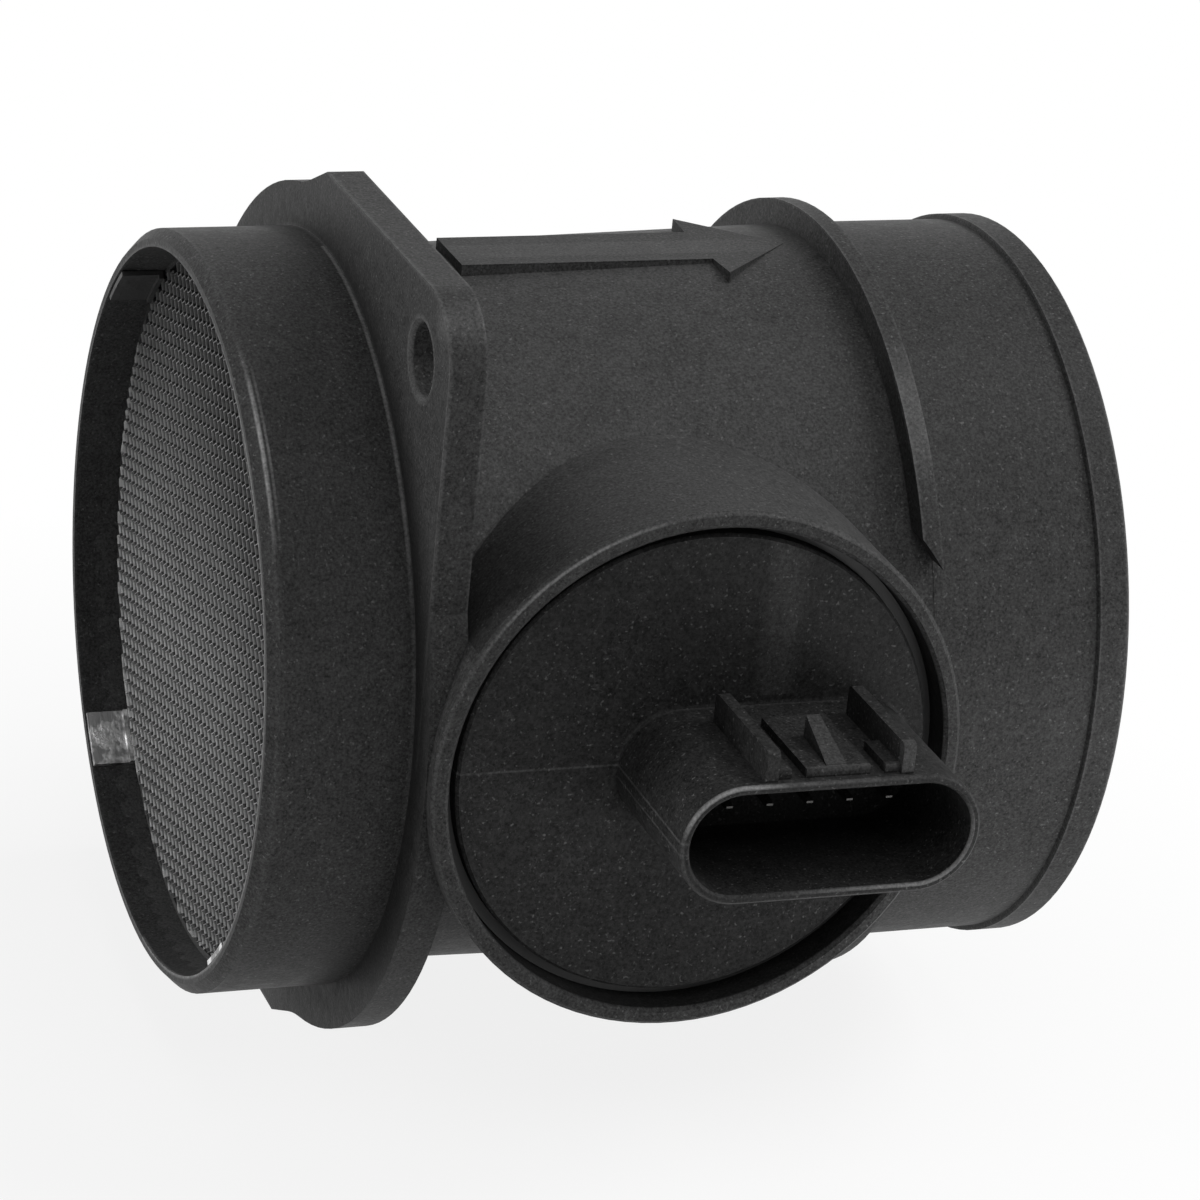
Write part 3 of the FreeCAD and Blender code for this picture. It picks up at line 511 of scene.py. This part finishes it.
def foil_metal():
    """Dull aluminium foil with painted light and shade: pale near the open end and darker deeper in,
    walls darker by the way they face and towards the top, and painted glints along the rim's lower
    part.
    """
    paint = Paint("foil")
    x, y, z = paint.axes()
    facing_x, _, facing_z = paint.split(paint.node("ShaderNodeTexCoord", out="Normal"))
    tone = paint.noise(1100, 2.0, 0.5).ramp(0.3, 0.7)
    near = (x - FOIL_LOW.x / MM).fade(0.06, 0.40)
    rim = (across(y, z) > FOIL_RADIUS / MM - 0.4) * paint.noise(640, 0.0, 0.5).ramp(0.4, 0.5)
    colour = paint.layers(
        paint.blend(tone, grey(0.12), grey(0.18)),
        # Painted light near the open end, with painted shade deeper in the cells.
        (near, 0.95),
        # Painted shade on walls facing up and on walls facing down.
        (facing_z.ramp(0.67, 0.76) * 0.85, 0.04),
        ((-facing_z).ramp(0.3, 0.7) * 0.85, 0.06),
        ((facing_x < -0.5) * 0.9, 0.13),
        # Painted shade, darker towards the top.
        (z.ramp(-6, 36) * 0.7, 0.06),
        # Painted glints along the rim's lower part.
        (rim * z.fade(5, 20), 0.9),
    )
    relief = paint.bump(paint.noise(2200, 2.0, 0.6), 0.00004, 0.6)
    return paint.surface(Base_Color=colour, Metallic=0.5, Roughness=tone * 0.15 + 0.42, Normal=relief)


def spring_strip():
    """Rolled spring strip with rubbed patches: the lower pair bright; the upper pair painted darker as
    shade, and less metallic and rougher.
    """
    paint = Paint("spring_strip")
    _, _, z = paint.axes()
    rolled = paint.node("ShaderNodeMapping", {}, {"Vector": paint.place, "Scale": (4000, 500, 500)})
    lines = paint.noise(1.0, place=rolled)
    patch = paint.noise(420, 3.0, 0.6).ramp(0.44, 0.60)
    bright = paint.blend(patch * 0.8 + lines * 0.2, grey(0.14), grey(0.95))
    # The upper pair is painted darker as shade, and made less metallic and rougher.
    upper_pair = z.ramp(-5, 5)
    colour = paint.layers(bright, (upper_pair, 0.022))
    metal = 0.85 - upper_pair * 0.75
    rough = patch * -0.15 + upper_pair * 0.2 + 0.42
    relief = paint.bump(lines * 0.5 + patch, 0.00005, 0.5)
    return paint.surface(Base_Color=colour, Metallic=metal, Roughness=rough, Normal=relief)


def plated(name, level, warm, rough):
    """Plated or rolled metal of one level of grey."""
    paint = Paint(name)
    tone = paint.noise(1800, 2.0, 0.5)
    colour = paint.blend(tone, grey(level * 0.8, warm), grey(level, warm))
    relief = paint.bump(tone, 0.00002, 0.3)
    return paint.surface(Base_Color=colour, Metallic=1.0, Roughness=tone * 0.15 + rough, Normal=relief)


def plain(name, dark, light, rough):
    """A quiet finish for the hidden pieces: two close colours and a fine skin."""
    paint = Paint(name)
    tone = paint.noise(900, 3.0, 0.55)
    colour = paint.blend(tone.ramp(0.35, 0.65), dark, light)
    relief = paint.bump(tone, 0.00003, 0.5)
    return paint.surface(Base_Color=colour, Roughness=tone * 0.15 + rough, Normal=relief)


def dress(node, material):
    """Gives a CAD node its finish."""
    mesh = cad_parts[node].data
    mesh.materials.clear()
    mesh.materials.append(material)


# The straightener's foil, one small cell repeated over the disc.


def cell_corners(radius):
    """Corners of a hexagon whose side walls lean, so that its neighbours still close up."""
    slip = radius * math.tan(FOIL_LEAN) / 2
    corners = []
    for n in range(6):
        angle = math.radians(30 + 60 * n)
        corner_y, corner_z = radius * math.cos(angle), radius * math.sin(angle)
        flank = abs(corner_y) > radius / 2
        corners.append((corner_y + math.copysign(slip, corner_z) * (1 if flank else -1), corner_z))
    return corners


def cell_mesh():
    """One closed six-sided tube, its axis along X."""
    outer = FOIL_PITCH / math.sqrt(3) * CELL_FIT
    inner = (FOIL_PITCH - FOIL_WALL) / math.sqrt(3)
    thick = FOIL_HIGH.x - FOIL_LOW.x
    build = bmesh.new()
    rings = []
    for radius in (outer, inner):
        for x in (0.0, thick):
            rings.append([build.verts.new((x, y, z)) for y, z in cell_corners(radius)])
    outer_front, outer_back, inner_front, inner_back = rings
    for n in range(6):
        m = (n + 1) % 6
        build.faces.new((outer_front[n], inner_front[n], inner_front[m], outer_front[m]))
        build.faces.new((outer_back[m], inner_back[m], inner_back[n], outer_back[n]))
        build.faces.new((inner_front[n], inner_back[n], inner_back[m], inner_front[m]))
        build.faces.new((outer_front[m], outer_back[m], outer_back[n], outer_front[n]))
    bmesh.ops.recalc_face_normals(build, faces=build.faces)
    mesh = bpy.data.meshes.new("foil_cell")
    build.to_mesh(mesh)
    build.free()
    return mesh


def lattice_points(web, pitch, turn):
    """A hexagonal lattice of points in the YZ plane, turned about X."""
    side = float(LATTICE_SIDE)
    middle = (side - 1) / 2
    spans = {"Size X": 1.0, "Size Y": 1.0, "Vertices X": LATTICE_SIDE, "Vertices Y": LATTICE_SIDE}
    grid = web.node("GeometryNodeMeshGrid", {}, spans)
    index = web.node("GeometryNodeInputIndex")
    column = web.maths("FLOOR", index / side)
    row = web.maths("MODULO", index, side)
    odd = web.maths("MODULO", row, 2.0)
    y = (column - middle + odd * 0.5) * pitch
    z = (row - middle) * (math.sqrt(3) / 2) * pitch
    flat = web.vector(Y=y, Z=z)
    spin = {"Vector": flat, "Angle": turn}
    turned = web.node("ShaderNodeVectorRotate", {"rotation_type": "X_AXIS"}, spin)
    return web.node("GeometryNodeSetPosition", {}, {"Geometry": grid, "Position": turned})


def bend_cells(web, foil, place, jitter):
    """Moves the foil's corners a little within its plane."""
    smooth = {"Vector": place, "Scale": FOIL_WAVES, "Detail": 0.0}
    wave = web.node("ShaderNodeTexNoise", {}, smooth, out="Color")
    shift = web.vector_maths("SUBTRACT", {0: wave, 1: (0.5, 0.5, 0.5)})
    bent = web.vector_maths("SCALE", {0: shift, "Scale": jitter})
    level = web.vector_maths("MULTIPLY", {0: bent, 1: (0.0, 1.0, 1.0)})
    return web.node("GeometryNodeSetPosition", {}, {"Geometry": foil, "Offset": level})


def cut_to_disc(web, foil, place, radius):
    """Draws what stands past the radius back to it."""
    along, side, high = web.split(place)
    radial = web.vector(Y=side, Z=high)
    reach = web.vector_maths("LENGTH", {0: radial}, "Value")
    scaled = web.vector_maths("SCALE", {0: radial, "Scale": (radius / reach.most(1e-6)).least(1.0)})
    whole = web.vector_maths("ADD", {0: scaled, 1: web.vector(X=along)})
    return web.node("GeometryNodeSetPosition", {}, {"Geometry": foil, "Position": whole})


def honeycomb(material):
    """The tree that repeats a cell on the lattice inside a radius, and its inputs' identifiers."""
    web = Nodes(bpy.data.node_groups.new("foil_honeycomb", "GeometryNodeTree"), "NodeGroupOutput")
    face = web.tree.interface
    face.new_socket(name="Cell", in_out="INPUT", socket_type="NodeSocketGeometry")
    identifiers = {}
    for name in FOIL_SIZES:
        made = face.new_socket(name=name, in_out="INPUT", socket_type="NodeSocketFloat")
        identifiers[name] = made.identifier
    face.new_socket(name="Foil", in_out="OUTPUT", socket_type="NodeSocketGeometry")
    source = web.tree.nodes.new("NodeGroupInput")
    names = ("Cell", "Pitch", "Radius", "Turn", "Jitter")
    cell, pitch, radius, turn, jitter = (Signal(web, source.outputs[name]) for name in names)

    place = web.node("GeometryNodeInputPosition")
    points = lattice_points(web, pitch, turn)
    beyond = web.vector_maths("LENGTH", {0: place}, "Value") > radius - pitch * 0.2
    chosen = {"Geometry": points, "Selection": beyond}
    kept = web.node("GeometryNodeDeleteGeometry", {"domain": "POINT"}, chosen)
    rotation = web.node("FunctionNodeEulerToRotation", {}, {0: web.vector(X=turn)})
    spread = {"Points": kept, "Instance": cell, "Rotation": rotation}
    cells = web.node("GeometryNodeInstanceOnPoints", {}, spread)
    foil = web.node("GeometryNodeRealizeInstances", {}, {0: cells})
    foil = bend_cells(web, foil, place, jitter)
    foil = cut_to_disc(web, foil, place, radius)
    web.end(web.node("GeometryNodeSetMaterial", {}, {"Geometry": foil, "Material": material}))
    return web.tree, identifiers


def foil_straightener(material):
    """The fine foil honeycomb in the place of the disc."""
    cell = bpy.data.objects.new("foil_cell", cell_mesh())
    bpy.context.scene.collection.objects.link(cell)
    modifier = cell.modifiers.new("foil", "NODES")
    modifier.node_group, identifiers = honeycomb(material)
    for name, size in FOIL_SIZES.items():
        modifier[identifiers[name]] = size
    graph = bpy.context.evaluated_depsgraph_get()
    mesh = bpy.data.meshes.new_from_object(cell.evaluated_get(graph))
    cell.modifiers.clear()
    bpy.data.objects.remove(cell)
    mesh.name = "straightener_foil"
    mesh.transform(Matrix.Translation((FOIL_LOW.x, 0, 0)))
    piece = bpy.data.objects.new("straightener_foil", mesh)
    bpy.context.scene.collection.objects.link(piece)
    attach(piece, "root")
    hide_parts("flow_straightener")


# Stage and light.


def stage_floor():
    """A wide pale floor, which keeps the sensor's shadow near it and is pure white away from it."""
    low, high, level = -FLOOR_HALF, FLOOR_HALF, CAD_BOX[0][2]
    mesh = bpy.data.meshes.new("floor")
    corners = [(low, low, level), (high, low, level), (high, high, level), (low, high, level)]
    mesh.from_pydata(corners, [], [(0, 1, 2, 3)])
    floor = bpy.data.objects.new("floor", mesh)
    bpy.context.scene.collection.objects.link(floor)
    paint = Paint("floor")
    x, y, _ = paint.axes()
    far = across(x, y).ramp(*SHADOW_FADE)
    matt = paint.node("ShaderNodeBsdfDiffuse", {}, {"Color": grey(FLOOR_GREY)})
    white = paint.node("ShaderNodeEmission", {}, {"Color": grey(1.0), "Strength": 1.0})
    share = seen_ray(paint) * (far * (1 - WHITE_SHARE) + WHITE_SHARE)
    paint.end(paint.node("ShaderNodeMixShader", {}, {0: share, 1: matt, 2: white}))
    mesh.materials.append(paint.material)


def softbox(name, place, size, watts):
    """An area lamp aimed at the sensor."""
    lamp = bpy.data.lights.new(name, "AREA")
    lamp.shape = "RECTANGLE"
    lamp.size, lamp.size_y = size
    lamp.energy = watts
    light = bpy.data.objects.new(name, lamp)
    spot = Vector(place)
    light.location = spot
    light.rotation_euler = (Vector(LAMP_AIM) - spot).to_track_quat("-Z", "Y").to_euler()
    bpy.context.scene.collection.objects.link(light)


def set_light():
    """A dim room that the backdrop's rays see as white, and the lamps."""
    world = bpy.data.worlds.new("studio")
    world.use_nodes = True
    bpy.context.scene.world = world
    room = Nodes(world.node_tree, "ShaderNodeOutputWorld")
    dim = room.node("ShaderNodeBackground", {}, {"Color": grey(1.0), "Strength": AMBIENT})
    white = room.node("ShaderNodeBackground", {}, {"Color": grey(1.0), "Strength": 1.0})
    room.end(room.node("ShaderNodeMixShader", {}, {0: seen_ray(room), 1: dim, 2: white}))
    for lamp in LAMPS:
        softbox(*lamp)


# The scene.

set_camera()
stage_floor()
set_light()

foil = foil_metal()
strip = spring_strip()
tin = plated("tin", 0.06, 0.02, 0.4)
probe_black = probe_plastic()
rubber = plain("bead_rubber", grey(0.012), grey(0.02), 0.55)
package = plain("chip_package", grey(0.018), grey(0.03), 0.5)
capacitor_body = plain("capacitor_ceramic", (0.28, 0.19, 0.11, 1), (0.36, 0.25, 0.15, 1), 0.45)

finishes = {
    "housing": housing_plastic(),
    "connector_cover": cover_plastic(),
    "flow_straightener": foil,
    "cover_seal": rubber,
    "probe_gasket": rubber,
    "probe_body": probe_black,
    "probe_lid": probe_black,
    "flow_element": plain("sensing_film", (0.10, 0.12, 0.16, 1), (0.16, 0.18, 0.22, 1), 0.2),
    "air_thermistor": plain("thermistor_glaze", (0.16, 0.05, 0.02, 1), (0.24, 0.08, 0.03, 1), 0.25),
    "base_plate": plated("rolled_aluminium", 0.66, 0.0, 0.35),
    "circuit_board": plain("board_ceramic", grey(0.62, 0.02), grey(0.7, 0.02), 0.5),
    "signal_chip": package,
    "resistor_network": package,
    "capacitor_1": capacitor_body,
    "capacitor_2": capacitor_body,
}
finishes.update(("straightener_clip_%d" % n, strip) for n in range(1, 5))
finishes.update(("terminal_%d" % n, tin) for n in range(1, 6))
for node, finish in finishes.items():
    dress(node, finish)

foil_straightener(foil)

bpy.context.scene.view_settings.view_transform = "Standard"
